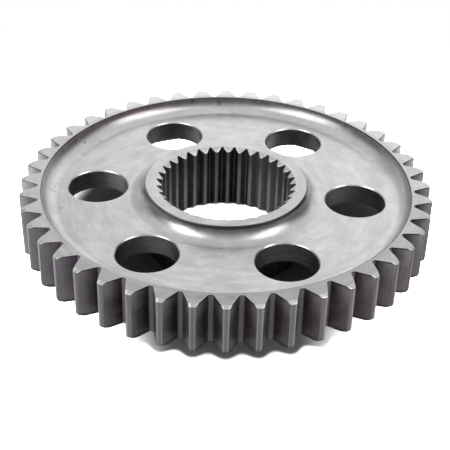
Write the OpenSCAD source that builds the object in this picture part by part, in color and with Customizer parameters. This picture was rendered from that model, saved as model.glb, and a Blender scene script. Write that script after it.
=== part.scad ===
// Sprocket for an inverted-tooth (silent) chain, machined from one steel blank:
// a toothed rim, a web dished on both sides with a ring of lightening holes,
// and a hub with a splined bore.
// The axis of rotation is Z. The part stands on the lower end of its hub, at z = 0,
// and a lightening hole lies on +X.

/* [Chain teeth] */
// Pitch of the chain
chain_pitch = 9.525; // [9.2:0.025:10.4]
// Number of teeth around the rim
tooth_count = 44; // [43:1:50]
// Angle between the two flanks of a tooth gap
gap_angle = 60; // [48:1:64]
// Depth of a tooth gap below the tooth tips
tooth_depth = 5.7; // [4.5:0.1:6.1]
// Width of a tooth gap between its flanks at the floor
gap_floor_w = 1.2; // [1:0.05:1.5]
// Radius in the two corners of a gap floor
gap_corner_r = 0.45; // [0.2:0.05:0.6]
// How far the chamfer at both ends of the teeth reaches in from the tips
tip_chamfer_in = 1.3; // [0.6:0.1:2]
// Height of the chamfer at both ends of the teeth
tip_chamfer_h = 0.55; // [0.2:0.05:1]
// Turn of the first tooth from the hole on +X
tooth_phase = 4.35; // [0:0.01:8]

/* [Rim and web] */
// Width of the toothed rim along the axis
rim_w = 16.7; // [14:0.1:19]
// Solid rim left between a gap floor and the dish
rim_wall = 1.1; // [0.8:0.1:2]
// Depth of the upper dish below the upper face of the rim
upper_dish = 4.5; // [3:0.1:6]
// Thickness of the web
web_t = 7; // [5:0.1:8]
// Radius of the fillets around the dishes
dish_fillet = 5.5; // [4:0.1:6]

/* [Lightening holes] */
// Number of holes in the web
hole_count = 6; // [4:1:6]
// Diameter of a hole
hole_d = 19.5; // [14:0.1:21]
// Diameter of the circle that the holes lie on
hole_circle_d = 84.9; // [83:0.1:87]
// Chamfer at both ends of a hole
hole_chamfer = 0.35; // [0.2:0.05:0.8]

/* [Hub] */
// Diameter of the hub
hub_d = 52.9; // [50:0.1:55]
// Length of the hub, from its lower end to the upper face of the rim
hub_len = 22.8; // [20:0.1:28]
// Chamfer around both ends of the hub
hub_chamfer = 0.15; // [0.1:0.05:0.8]

/* [Splined bore] */
// Number of grooves in the bore
spline_count = 34; // [28:1:36]
// Diameter over the floors of the grooves
spline_major_d = 45.8; // [44:0.1:47]
// Diameter inside the tips of the spline teeth
spline_minor_d = 42.1; // [40:0.1:43]
// Width of a groove between the tips of its spline teeth
groove_mouth_w = 3; // [2:0.05:3.3]
// Width of a groove at its floor
groove_floor_w = 0.5; // [0.3:0.05:0.9]
// Height of the lead-in chamfer at both ends of the bore
lead_in_h = 1.1; // [0.6:0.05:1.6]
// Turn of the first groove from the hole on +X
spline_phase = 2.2; // [0:0.01:10]

/* [Hidden] */
$fn = 180;

// The cutters reach this far past the faces that they open
over = 1;
// Straight steps in a rounded corner of a gap floor
corner_steps = 4;

tip_r = chain_pitch * (1 / tan(180 / tooth_count) + 0.08) / 2;
root_r = tip_r - tooth_depth;
dish_r = root_r - rim_wall;
hub_r = hub_d / 2;
minor_r = spline_minor_d / 2;
major_r = spline_major_d / 2;
// Inside the wall of the hub, where the section of web and rim joins it
hub_wall_r = (major_r + hub_r) / 2;
rim_z = hub_len - rim_w;
web_top = hub_len - upper_dish;
web_z = web_top - web_t;
lower_dish = web_z - rim_z;

// Radial reach of a fillet of radius r that rises from the floor of a dish of a given depth
function fillet_reach(r, depth) = depth < r ? sqrt(r * r - pow(r - depth, 2)) : r;

// Points of an arc about a centre, from one angle to another
function arc(centre, r, from, to, steps) = [
    for (i = [0:steps])
        let (a = from + (to - from) * i / steps)
            centre + r * [cos(a), sin(a)]
];

// Outline of the air in a dish: x is the radius, the floor is at y = 0
module dish_air(depth) {
    reach = fillet_reach(dish_fillet, depth);
    intersection() {
        translate([hub_r, 0])
            square([dish_r - hub_r, depth + over]);
        union() {
            translate([hub_r + reach, dish_fillet])
                circle(r = dish_fillet);
            translate([dish_r - reach, dish_fillet])
                circle(r = dish_fillet);
            translate([hub_r + reach, 0])
                square([dish_r - hub_r - 2 * reach, depth + over]);
            translate([hub_r, min(depth, dish_fillet)])
                square([dish_r - hub_r, depth + over]);
        }
    }
}

// Half section of the turned blank, with a plain bore at the tips of the spline
module blank_section() {
    difference() {
        union() {
            polygon([
                [minor_r, lead_in_h],
                [major_r, 0],
                [hub_r - hub_chamfer, 0],
                [hub_r, hub_chamfer],
                [hub_r, hub_len],
                [major_r, hub_len],
                [minor_r, hub_len - lead_in_h]
            ]);
            polygon([
                [hub_wall_r, rim_z],
                [tip_r - tip_chamfer_in, rim_z],
                [tip_r, rim_z + tip_chamfer_h],
                [tip_r, hub_len - tip_chamfer_h],
                [tip_r - tip_chamfer_in, hub_len],
                [hub_wall_r, hub_len]
            ]);
        }
        translate([0, web_top])
            dish_air(upper_dish);
        translate([0, web_z])
            mirror([0, 1])
                dish_air(lower_dish);
        polygon([
            [hub_r - hub_chamfer, hub_len],
            [hub_r + hub_chamfer, hub_len - 2 * hub_chamfer],
            [hub_r + hub_chamfer, hub_len + over],
            [hub_r - hub_chamfer, hub_len + over]
        ]);
    }
}

// Outline of one tooth gap, centred on +X, with rounded corners at its floor
module gap_outline() {
    half = gap_angle / 2;
    r = gap_corner_r;
    corner = [root_r + r, gap_floor_w / 2 - r * tan(45 - half / 2)];
    mouth_x = tip_r + over;
    mouth_y = gap_floor_w / 2 + (mouth_x - root_r) * tan(half);
    right = arc(corner, r, 180, 90 + half, corner_steps);
    left = [for (i = [corner_steps:-1:0]) [right[i].x, -right[i].y]];
    polygon(concat(left, right, [[mouth_x, mouth_y], [mouth_x, -mouth_y]]));
}

// Outline of one spline groove, centred on +X
module groove_outline() {
    slope = (groove_mouth_w - groove_floor_w) / 2 / (major_r - minor_r);
    inner_w = groove_mouth_w + 2 * slope * over;
    polygon([
        [minor_r - over, -inner_w / 2],
        [major_r, -groove_floor_w / 2],
        [major_r, groove_floor_w / 2],
        [minor_r - over, inner_w / 2]
    ]);
}

// A lightening hole with a chamfer at both ends, on its own axis
module hole() {
    mouth = hole_d / 2 + hole_chamfer + over;
    translate([0, 0, web_z - over])
        cylinder(d = hole_d, h = web_t + 2 * over);
    translate([0, 0, web_top - hole_chamfer])
        cylinder(r1 = hole_d / 2, r2 = mouth, h = hole_chamfer + over);
    translate([0, 0, web_z - over])
        cylinder(r1 = mouth, r2 = hole_d / 2, h = hole_chamfer + over);
}

module sprocket() {
    color([0.62, 0.61, 0.60])
        difference() {
            rotate_extrude()
                blank_section();
            for (i = [0:tooth_count - 1])
                rotate(tooth_phase + (i + 0.5) * 360 / tooth_count)
                    translate([0, 0, rim_z - over])
                        linear_extrude(rim_w + 2 * over)
                            gap_outline();
            for (i = [0:spline_count - 1])
                rotate(spline_phase + i * 360 / spline_count)
                    translate([0, 0, -over])
                        linear_extrude(hub_len + 2 * over)
                            groove_outline();
            for (i = [0:hole_count - 1])
                rotate(i * 360 / hole_count)
                    translate([hole_circle_d / 2, 0, 0])
                        hole();
        }
}

sprocket();
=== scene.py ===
"""Looks of a chain sprocket: one machined steel piece on a white studio floor.

The sprocket is built again as one finer mesh over the CAD solid, from the same sizes, with
its edges broken, and dressed in steel finishes for its turned faces, cut teeth, drilled
holes and broached spline. Sizes in the classes are millimetres, the scene is in metres.
"""

import logging
import math
from dataclasses import dataclass, field
from enum import Enum

import bpy
import numpy as np
from mathutils import Matrix, Vector
from mathutils.geometry import delaunay_2d_cdt


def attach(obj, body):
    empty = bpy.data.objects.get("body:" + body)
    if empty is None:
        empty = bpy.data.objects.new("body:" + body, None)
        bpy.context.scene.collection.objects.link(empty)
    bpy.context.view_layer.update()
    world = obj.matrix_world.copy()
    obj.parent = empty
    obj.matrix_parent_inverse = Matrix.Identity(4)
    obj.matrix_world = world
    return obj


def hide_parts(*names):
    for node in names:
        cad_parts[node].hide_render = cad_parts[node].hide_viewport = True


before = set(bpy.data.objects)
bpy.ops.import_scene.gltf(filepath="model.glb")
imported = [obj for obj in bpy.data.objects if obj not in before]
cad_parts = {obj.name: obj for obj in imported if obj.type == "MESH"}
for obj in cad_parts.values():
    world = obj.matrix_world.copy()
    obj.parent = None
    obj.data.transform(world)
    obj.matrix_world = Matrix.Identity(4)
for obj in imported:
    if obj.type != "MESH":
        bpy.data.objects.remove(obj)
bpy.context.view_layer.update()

Socket = bpy.types.NodeSocket
Path = list[tuple[float, float]]
Span = tuple[float, float]
Colour = tuple[float, float, float]

LOG = logging.getLogger("sprocket_scene")
MM = 0.001
# Number of teeth, and the angle in degrees from +X to the middle of the first one
TOOTH_COUNT = 44
TOOTH_PHASE = 4.35
# Radius of the hub and heights of the rim's end faces over the hub's lower end
HUB_RADIUS = 26.45
RIM_TOP = 22.8
RIM_BOTTOM = 6.1
# Angle in degrees around the axis from -Y to the camera's side
CAMERA_TURN = 3.484
# Normals that differ by more than this many degrees meet in a sharp edge
CREASE_ANGLE = 40.0
# A face is level when its normal is at least this upright
LEVEL_NORMAL = 0.99999
# Points of a flat fill that are nearer than this, in millimetres, are one
FILL_MERGE = 1e-7
# About as much as a slope of 45 degrees runs sideways, as a share of its length
SLANT = 0.7


class Zone(Enum):
    """The parts of the surface that carry a finish of their own."""

    TURNED = 0
    FLANK = 1
    ROOT = 2
    TIP = 3
    EDGE = 4
    HOLE = 5
    SPLINE = 6
    SPLINE_TIP = 7
    CORNER = 8


class Facing(Enum):
    """The way that a flat fill looks."""

    UP = 1
    DOWN = -1


def circle(radius: float, count: int, centre: tuple[float, float] = (0.0, 0.0)) -> np.ndarray:
    """Gives evenly spaced points of a circle, anticlockwise from +X.

    Args:
        radius: radius of the circle.
        count: number of points.
        centre: middle of the circle.

    Returns:
        An array of x, y rows.
    """
    turn = np.arange(count) * (math.tau / count)
    ring = np.column_stack((np.cos(turn), np.sin(turn))) * radius
    return ring + np.array(centre)


def patterned(period: np.ndarray, copies: int, phase: float) -> np.ndarray:
    """Repeats one period of an outline around the axis.

    Args:
        period: x, y rows of the period that is centred on +X.
        copies: number of periods in a full turn.
        phase: angle in degrees of the first period.

    Returns:
        The x, y rows of the closed outline, anticlockwise.
    """
    turns = [math.radians(phase) + i * math.tau / copies for i in range(copies)]
    rows = []
    for turn in turns:
        c, s = math.cos(turn), math.sin(turn)
        rows.append(period @ np.array(((c, s), (-s, c))))
    return np.vstack(rows)


def mirrored_period(half: Path) -> np.ndarray:
    """Joins a half period and its mirror image into one whole period.

    Args:
        half: points from the middle of a gap to the middle of the next tooth.

    Returns:
        x, y rows from one tooth's middle to just before the next one's.
    """
    mirror = [(x, -y) for x, y in reversed(half[1:])]
    return np.array(mirror + list(half[:-1]))


def mirrored_zones(half: list[Zone]) -> list[Zone]:
    """Gives the zones of a whole period from those of its half.

    Args:
        half: zone of each step from the middle of a gap to the middle of a tooth.

    Returns:
        Zone of each step of the period.
    """
    return list(reversed(half)) + list(half)


def moved_out(outline: np.ndarray, by: float) -> np.ndarray:
    """Moves each point of a closed outline along its outward normal.

    Args:
        outline: x, y rows, anticlockwise.
        by: distance, negative to move inward.

    Returns:
        The moved x, y rows.
    """
    along = np.roll(outline, -1, axis=0) - np.roll(outline, 1, axis=0)
    along /= np.linalg.norm(along, axis=1)[:, None]
    return outline + by * np.column_stack((along[:, 1], -along[:, 0]))


def bend(start: np.ndarray, corner: np.ndarray, end: np.ndarray, steps: int) -> Path:
    """Rounds a corner with a short curve.

    Args:
        start: point where the curve leaves the first side.
        corner: the sharp corner.
        end: point where the curve meets the second side.
        steps: number of straight steps in the curve.

    Returns:
        The points of the curve, with both ends.
    """
    points = []
    for i in range(steps + 1):
        t = i / steps
        p = start * (1 - t) ** 2 + corner * 2 * t * (1 - t) + end * t * t
        points.append((float(p[0]), float(p[1])))
    return points


def soft_step(x: float) -> float:
    """Gives a smooth step from 0 to 1 as x goes from 0 to 1."""
    x = min(max(x, 0.0), 1.0)
    return x * x * (3 - 2 * x)


def soft_min(a: float, b: float, blend: float) -> float:
    """Gives the smaller of two lengths, rounded where they cross.

    Args:
        a: first length.
        b: second length.
        blend: width of the rounding.

    Returns:
        The blended smaller length.
    """
    h = min(max(0.5 + 0.5 * (b - a) / blend, 0.0), 1.0)
    return b * (1 - h) + a * h - blend * h * (1 - h)


@dataclass
class MeshDraft:
    """Points, faces and zones that grow into one closed mesh.

    The rings are anticlockwise. A surface grows from ring to ring with the metal on its
    left: up the outer wall, in over the top, down the bore and out over the bottom.
    """

    points: list[tuple[float, float, float]] = field(default_factory=list)
    faces: list[tuple[int, ...]] = field(default_factory=list)
    zones: list[Zone] = field(default_factory=list)

    def ring(self, outline: np.ndarray, height: float) -> list[int]:
        """Adds the points of an outline at one height.

        Args:
            outline: x, y rows.
            height: height of the ring.

        Returns:
            The numbers of the new points.
        """
        first = len(self.points)
        self.points.extend((float(x), float(y), height) for x, y in outline)
        return list(range(first, len(self.points)))

    def bridge(self, a: list[int], b: list[int], zones: list[Zone]) -> None:
        """Joins two rings with as many points by a band of quads.

        Args:
            a: the ring that the band leaves.
            b: the ring that the band reaches.
            zones: zones of the columns, repeated around the ring.
        """
        count = len(a)
        for i in range(count):
            j = (i + 1) % count
            self.faces.append((a[i], a[j], b[j], b[i]))
            self.zones.append(zones[i % len(zones)])

    def chain(self, rings: list[list[int]], zones: list[Zone]) -> None:
        """Joins a row of rings, each to the next.

        Args:
            rings: the rings in order.
            zones: zones of the columns.
        """
        for a, b in zip(rings, rings[1:]):
            self.bridge(a, b, zones)

    def fill(self, loops: list[list[int]], zone: Zone, facing: Facing) -> None:
        """Fills the flat area inside an outer loop and outside the loops within it.

        Args:
            loops: the outer loop and any inner ones, all at one height.
            zone: zone of the new faces.
            facing: whether the face looks up or down.
        """
        index = [i for loop in loops for i in loop]
        flat = np.array([self.points[i][:2] for i in index])
        edges = []
        for loop in loops:
            first = len(edges)
            edges += [(first + k, first + (k + 1) % len(loop)) for k in range(len(loop))]
        result = delaunay_2d_cdt([Vector(p) for p in flat], edges, [], 1, FILL_MERGE)
        places, faces, origins = result[0], result[2], result[3]
        middles = np.array([np.mean([places[i] for i in face], axis=0) for face in faces])
        inside = self._inside(middles, flat, np.array(edges))
        for face, keep in zip(faces, inside):
            if not keep:
                continue
            corners = [index[origins[i][0]] for i in face]
            a, b, c = (np.array(self.points[i][:2]) for i in corners[:3])
            turn = (b[0] - a[0]) * (c[1] - a[1]) - (b[1] - a[1]) * (c[0] - a[0])
            if turn * facing.value < 0:
                corners.reverse()
            self.faces.append(tuple(corners))
            self.zones.append(zone)

    @staticmethod
    def _inside(spots: np.ndarray, flat: np.ndarray, edges: np.ndarray) -> np.ndarray:
        """Tests which spots lie inside the loops, by counting the edges to their right.

        Args:
            spots: x, y rows to test.
            flat: x, y rows of the loops' points.
            edges: pairs of point numbers.

        Returns:
            True for each spot that is inside.
        """
        a, b = flat[edges[:, 0]], flat[edges[:, 1]]
        y = spots[:, 1][:, None]
        spans = (a[:, 1] > y) != (b[:, 1] > y)
        rise = np.where(b[:, 1] == a[:, 1], 1.0, b[:, 1] - a[:, 1])
        cross = a[:, 0] + (y - a[:, 1]) * (b[:, 0] - a[:, 0]) / rise
        return (spans & (cross > spots[:, 0][:, None])).sum(axis=1) % 2 == 1

    def _corner_normals(self, mesh: bpy.types.Mesh) -> list[tuple[float, float, float]]:
        """Works out the shading normal of every face corner.

        Flat faces that look straight up or down keep their own normal, also at the corners
        that they share with the rounded edges beside them.

        Args:
            mesh: the finished mesh.

        Returns:
            One normal for each corner, in the mesh's order.
        """
        count = len(mesh.polygons)
        normals = np.zeros(count * 3)
        areas = np.zeros(count)
        mesh.polygons.foreach_get("normal", normals)
        mesh.polygons.foreach_get("area", areas)
        normals = normals.reshape(-1, 3)
        level = np.abs(normals[:, 2]) > LEVEL_NORMAL
        around: list[list[int]] = [[] for _ in mesh.vertices]
        for face in mesh.polygons:
            for vertex in face.vertices:
                around[vertex].append(face.index)
        limit = math.cos(math.radians(CREASE_ANGLE))
        result = []
        for face in mesh.polygons:
            own = normals[face.index]
            for vertex in face.vertices:
                near = np.array(around[vertex])
                close = near[normals[near] @ own > limit]
                flats = close[level[close]]
                if level[face.index]:
                    normal = own
                elif len(flats):
                    normal = normals[flats[0]]
                else:
                    normal = (normals[close] * areas[close][:, None]).sum(axis=0)
                    normal = normal / np.linalg.norm(normal)
                result.append(tuple(normal))
        return result

    def piece(self, name: str, materials: dict[Zone, bpy.types.Material]) -> bpy.types.Object:
        """Makes the Blender object of the draft.

        Args:
            name: name of the object.
            materials: the material of each zone.

        Returns:
            The object, linked to the scene, in metres.
        """
        mesh = bpy.data.meshes.new(name)
        mesh.from_pydata([tuple(c * MM for c in p) for p in self.points], [], self.faces)
        order = list(materials)
        for zone in order:
            mesh.materials.append(materials[zone])
        numbers = [order.index(zone) for zone in self.zones]
        mesh.polygons.foreach_set("material_index", numbers)
        mesh.polygons.foreach_set("use_smooth", [True] * len(numbers))
        mesh.update()
        mesh.normals_split_custom_set(self._corner_normals(mesh))
        mesh.update()
        piece = bpy.data.objects.new(name, mesh)
        bpy.context.scene.collection.objects.link(piece)
        return piece


@dataclass
class ToothedRim:
    """The rim with its straight-flanked teeth, chamfered at both ends."""

    chain_pitch: float = 9.525
    tooth_count: int = TOOTH_COUNT
    gap_angle: float = 60.0
    tooth_depth: float = 5.7
    gap_floor_w: float = 1.2
    gap_corner_r: float = 0.45
    tip_chamfer_in: float = 1.3
    tip_chamfer_h: float = 0.55
    tooth_phase: float = TOOTH_PHASE
    bottom: float = RIM_BOTTOM
    top: float = RIM_TOP
    # Roundings of the tips' long edges, of the end faces' edges and where the chamfer starts
    tip_rounding: float = 0.45
    edge_rounding: float = 0.07
    chamfer_rounding: float = 0.16
    # The tip diameter is the pitch times the cotangent of half a tooth's angle plus this
    tip_share: float = 0.08
    # Steps of the two rounded corners, and where points lie along the flank and the land
    corner_steps: int = 4
    tip_steps: int = 4
    flank_shares: tuple[float, ...] = (0.25, 0.5, 0.75)
    land_shares: tuple[float, ...] = (1 / 3, 2 / 3, 1.0)
    # Rings below an end face: degrees around its edge, then shares of the chamfer's height
    edge_turns: tuple[int, ...] = (0, 30, 60, 90)
    chamfer_levels: tuple[float, ...] = (0.55, 0.8, 1.0, 1.12, 1.3, 1.6, 4.0)

    @property
    def tip_r(self) -> float:
        """Radius over the tips of the teeth."""
        return self.chain_pitch * (1 / math.tan(math.pi / self.tooth_count) + self.tip_share) / 2

    @property
    def root_r(self) -> float:
        """Radius of the gap floors."""
        return self.tip_r - self.tooth_depth

    def outline(self, tip_limit: float, inset: float) -> np.ndarray:
        """Gives the outline of all teeth at one height.

        Args:
            tip_limit: radius that the tips reach at this height.
            inset: how far the outline lies inside the flanks.

        Returns:
            x, y rows, anticlockwise, with the same number of points at every height.
        """
        half = math.radians(self.gap_angle / 2)
        r = self.gap_corner_r
        beside = self.gap_floor_w / 2 - r * math.tan(math.pi / 4 - half / 2)
        middle = np.array((self.root_r + r, beside))
        points = [(self.root_r, 0.0)]
        for i in range(self.corner_steps + 1):
            turn = math.pi + (half - math.pi / 2) * i / self.corner_steps
            points.append(tuple(middle + r * np.array((math.cos(turn), math.sin(turn)))))
        start = np.array(points[-1])
        way = np.array((math.cos(half), math.sin(half)))
        reach = -start @ way + math.sqrt((start @ way) ** 2 - start @ start + tip_limit**2)
        corner = start + way * reach
        cut = self.tip_rounding
        leave = corner - way * cut
        for share in self.flank_shares:
            points.append(tuple(start + (leave - start) * share))
        turn = math.atan2(corner[1], corner[0]) + cut / tip_limit
        land = tip_limit * np.array((math.cos(turn), math.sin(turn)))
        points += bend(leave, corner, land, self.tip_steps)
        last = math.pi / self.tooth_count
        for share in self.land_shares:
            at = turn + (last - turn) * share
            points.append((tip_limit * math.cos(at), tip_limit * math.sin(at)))
        phase = self.tooth_phase + 180.0 / self.tooth_count
        ring = patterned(mirrored_period(points), self.tooth_count, phase)
        return moved_out(ring, -inset) if inset else ring

    def _levels(self) -> Path:
        """Gives the place of each ring in the upper half.

        Returns:
            Pairs of depth below the end face and inset.
        """
        r = self.edge_rounding
        rows = []
        for degrees in self.edge_turns:
            a = math.radians(degrees)
            rows.append((r * (1 - math.cos(a)), r * (1 - math.sin(a))))
        return rows + [(self.tip_chamfer_h * level, 0.0) for level in self.chamfer_levels]

    def _zones(self) -> tuple[list[Zone], list[Zone]]:
        """Gives the zones of a half period.

        Returns:
            Those along the teeth, and those on their end chamfers.
        """
        bent = self.tip_steps // 2
        gap = [Zone.ROOT] * (self.corner_steps + 1)
        gap += [Zone.FLANK] * (len(self.flank_shares) + 1 + bent)
        land = [Zone.TIP] * len(self.land_shares)
        return gap + [Zone.CORNER] * bent + land, gap + [Zone.EDGE] * (bent + len(land))

    def build(self, draft: MeshDraft) -> tuple[list[int], list[int]]:
        """Adds the toothed wall.

        Args:
            draft: the mesh that grows.

        Returns:
            The ring in the lower end face and the ring in the upper one.
        """
        rings = []
        levels = self._levels()
        ends = [(self.bottom, 1, levels), (self.top, -1, list(reversed(levels)))]
        for face, sign, rows in ends:
            for depth, inset in rows:
                cone = self.tip_r - self.tip_chamfer_in * (1 - depth / self.tip_chamfer_h)
                limit = soft_min(self.tip_r, cone, self.chamfer_rounding)
                rings.append(draft.ring(self.outline(limit, inset), face + sign * depth))
        wall, chamfer = self._zones()
        chamfer_steps = len(self.edge_turns) + sum(level < 1 for level in self.chamfer_levels)
        last = len(rings) - 1
        for i in range(last):
            zones = chamfer if min(i, last - 1 - i) < chamfer_steps else wall
            draft.bridge(rings[i], rings[i + 1], mirrored_zones(zones))
        return rings[0], rings[-1]


@dataclass
class DishedWeb:
    """The web between rim and hub: a filleted dish on each side and a ring of holes."""

    rim_inner_r: float = 60.17
    hub_r: float = HUB_RADIUS
    top: float = 18.3
    bottom: float = 11.3
    fillet_r: float = 5.5
    hole_count: int = 6
    hole_r: float = 9.75
    hole_circle_r: float = 42.45
    hole_chamfer: float = 0.35
    ring_points: int = 352
    hole_points: int = 96
    fillet_steps: int = 14
    # The dish's upper edge: its rounding, its steps and how far its foot leans inward
    edge_rounding: float = 0.1
    edge_steps: int = 3
    edge_lean: float = 0.03
    # The wall starts this many roundings below the edge
    edge_clear: float = 1.3
    # Rings of a hole's edge: how far out and how far down, in shares of its chamfer
    mouth_edge: tuple[Span, ...] = ((1.05, 0.0), (0.95, 0.06), (0.06, 0.95), (0.0, 1.06))

    def _reach(self, depth: float) -> float:
        """Gives how far the fillets of a dish of this depth run along its floor.

        Args:
            depth: depth of the dish.

        Returns:
            The radial length of the fillet.
        """
        r = self.fillet_r
        return math.sqrt(r * r - (r - depth) ** 2) if depth < r else r

    def _fillet(self, depth: float) -> Path:
        """Gives a fillet as distance from its wall and height over the floor.

        Args:
            depth: depth of the dish.

        Returns:
            Points from the wall's top down to the floor.
        """
        r, reach = self.fillet_r, self._reach(depth)
        steepest = math.asin(min(reach / r, 1.0))
        points = []
        for i in range(self.fillet_steps + 1):
            a = steepest * (1 - i / self.fillet_steps)
            points.append((reach - r * math.sin(a), r - r * math.cos(a)))
        return points

    def outer_path(self, depth: float) -> Path:
        """Gives the wall at the rim, as radius and height over the floor.

        Args:
            depth: depth of the dish.

        Returns:
            Points from the rim's end face down to the floor.
        """
        path = [(self.rim_inner_r - d, h) for d, h in self._fillet(depth)]
        e = self.edge_rounding
        corner = np.array(path[0])
        below = np.array((self.rim_inner_r - self.edge_lean, depth - e))
        start = np.array((self.rim_inner_r + e, depth))
        edge = bend(start, corner, below, self.edge_steps)
        return edge + [p for p in path if p[1] < depth - e * self.edge_clear]

    def hub_path(self, depth: float, cut: float) -> Path:
        """Gives the neck at the hub, as radius and height over the floor.

        Args:
            depth: depth of the dish.
            cut: height of the neck that the hub's own edge takes away.

        Returns:
            Points from the floor up the neck.
        """
        path = [(self.hub_r + d, h) for d, h in reversed(self._fillet(depth))]
        return [p for p in path if p[1] < depth - cut]

    def _mouth(self, number: int, out: float) -> np.ndarray:
        """Gives a circle around a hole.

        Args:
            number: number of the hole.
            out: how far it lies outside the hole's wall, in shares of the chamfer.

        Returns:
            x, y rows.
        """
        turn = math.tau * number / self.hole_count
        centre = (self.hole_circle_r * math.cos(turn), self.hole_circle_r * math.sin(turn))
        return circle(self.hole_r + out * self.hole_chamfer, self.hole_points, centre)

    def floor_loops(
        self, draft: MeshDraft, outer: list[int], inner: list[int], facing: Facing
    ) -> list[list[int]]:
        """Fills one face of the web around its holes.

        Args:
            draft: the mesh that grows.
            outer: ring at the rim's fillet.
            inner: ring at the hub's fillet.
            facing: which face of the web it is.

        Returns:
            The rings of the hole mouths in that face.
        """
        height = self.top if facing is Facing.UP else self.bottom
        out = self.mouth_edge[0][0]
        mouths = [draft.ring(self._mouth(i, out), height) for i in range(self.hole_count)]
        draft.fill([outer, inner] + mouths, Zone.TURNED, facing)
        return mouths

    def build_holes(self, draft: MeshDraft, upper: list[list[int]], lower: list[list[int]]) -> None:
        """Adds the walls of the lightening holes.

        Args:
            draft: the mesh that grows.
            upper: mouth rings in the upper face.
            lower: mouth rings in the lower face.
        """
        c = self.hole_chamfer
        edge = self.mouth_edge[1:]
        wall = len(edge)
        for i, (above, below) in enumerate(zip(upper, lower)):
            rings = [above]
            rings += [draft.ring(self._mouth(i, out), self.top - down * c) for out, down in edge]
            rings += [draft.ring(self._mouth(i, out), self.bottom + down * c) for out, down in reversed(edge)]
            rings.append(below)
            draft.chain(rings[:wall + 1], [Zone.TURNED])
            draft.chain(rings[wall:wall + 2], [Zone.HOLE])
            draft.chain(rings[wall + 1:], [Zone.TURNED])


@dataclass
class SplinedHub:
    """The hub: its two end faces with their chamfers, and the splined bore."""

    outer_r: float = HUB_RADIUS
    length: float = RIM_TOP
    chamfer: float = 0.15
    spline_count: int = 34
    major_r: float = 22.9
    minor_r: float = 21.05
    groove_mouth_w: float = 3.0
    groove_floor_w: float = 0.5
    lead_in_h: float = 1.1
    spline_phase: float = 2.2
    # Roundings of the spline teeth and of the hub's edges
    tip_rounding: float = 0.34
    edge_rounding: float = 0.05
    # The chamfer runs past the hub's wall by this share of itself, and cuts the fillet short
    knee_out: float = 0.3
    # How far the fillet stops short of its end: in chamfers above, in millimetres below
    neck_clear: float = 1.5
    lower_neck_clear: float = 0.02
    # The lead-in starts this far inside the groove floors and ends in this rounding
    mouth_inset: float = 0.04
    lead_in_rounding: float = 0.12
    # Largest share of a groove's wall that the spline tooth's rounding takes
    longest_rounding: float = 0.4
    # Steps of that rounding, and where points lie along the groove's wall and the land
    tip_steps: int = 3
    wall_shares: tuple[float, ...] = (0.3, 0.65)
    land_shares: tuple[float, ...] = (1 / 3, 2 / 3, 1.0)
    # Rings below an end face, as shares of the lead-in's height
    lead_in_levels: tuple[float, ...] = (0.0, 0.12, 0.4, 0.7, 0.92, 1.0, 1.08, 1.25, 4.0)

    def outline(self, tip_limit: float) -> np.ndarray:
        """Gives the outline of the spline at one height.

        Args:
            tip_limit: radius that the spline teeth reach inward to.

        Returns:
            x, y rows, anticlockwise, with the same number of points at every height.
        """
        slope = (self.groove_mouth_w - self.groove_floor_w) / 2 / (self.major_r - self.minor_r)
        floor = np.array((self.major_r, self.groove_floor_w / 2))
        way = np.array((-1.0, slope)) / math.hypot(1.0, slope)
        reach = -floor @ way - math.sqrt((floor @ way) ** 2 - floor @ floor + tip_limit**2)
        corner = floor + way * reach
        cut = min(self.tip_rounding, reach * self.longest_rounding)
        leave = corner - way * cut
        points = [(self.major_r, 0.0), tuple(floor)]
        for share in self.wall_shares:
            points.append(tuple(floor + (leave - floor) * share))
        turn = math.atan2(corner[1], corner[0]) + cut / tip_limit
        land = tip_limit * np.array((math.cos(turn), math.sin(turn)))
        points += bend(leave, corner, land, self.tip_steps)
        last = math.pi / self.spline_count
        for share in self.land_shares:
            at = turn + (last - turn) * share
            points.append((tip_limit * math.cos(at), tip_limit * math.sin(at)))
        return patterned(mirrored_period(points), self.spline_count, self.spline_phase)

    def build_bore(self, draft: MeshDraft) -> tuple[list[int], list[int]]:
        """Adds the wall of the splined bore, from its upper to its lower end.

        Args:
            draft: the mesh that grows.

        Returns:
            The ring in the upper end face and the ring in the lower one.
        """
        depths = [self.lead_in_h * level for level in self.lead_in_levels]
        rows = [(self.length - d, d) for d in depths] + [(d, d) for d in reversed(depths)]
        mouth_r = self.major_r - self.mouth_inset
        rings = []
        for height, depth in rows:
            cone = mouth_r - (mouth_r - self.minor_r) * depth / self.lead_in_h
            limit = -soft_min(-self.minor_r, -cone, self.lead_in_rounding)
            rings.append(draft.ring(self.outline(limit), height))
        groove = [Zone.SPLINE] * (len(self.wall_shares) + 2)
        land = self.tip_steps + len(self.land_shares)
        wall, lead_in = groove + [Zone.SPLINE_TIP] * land, groove + [Zone.TURNED] * land
        lead_in_steps = sum(level < 1 for level in self.lead_in_levels)
        last = len(rings) - 1
        for i in range(last):
            zones = lead_in if min(i, last - 1 - i) < lead_in_steps else wall
            draft.bridge(rings[i], rings[i + 1], mirrored_zones(zones))
        return rings[0], rings[-1]


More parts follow.
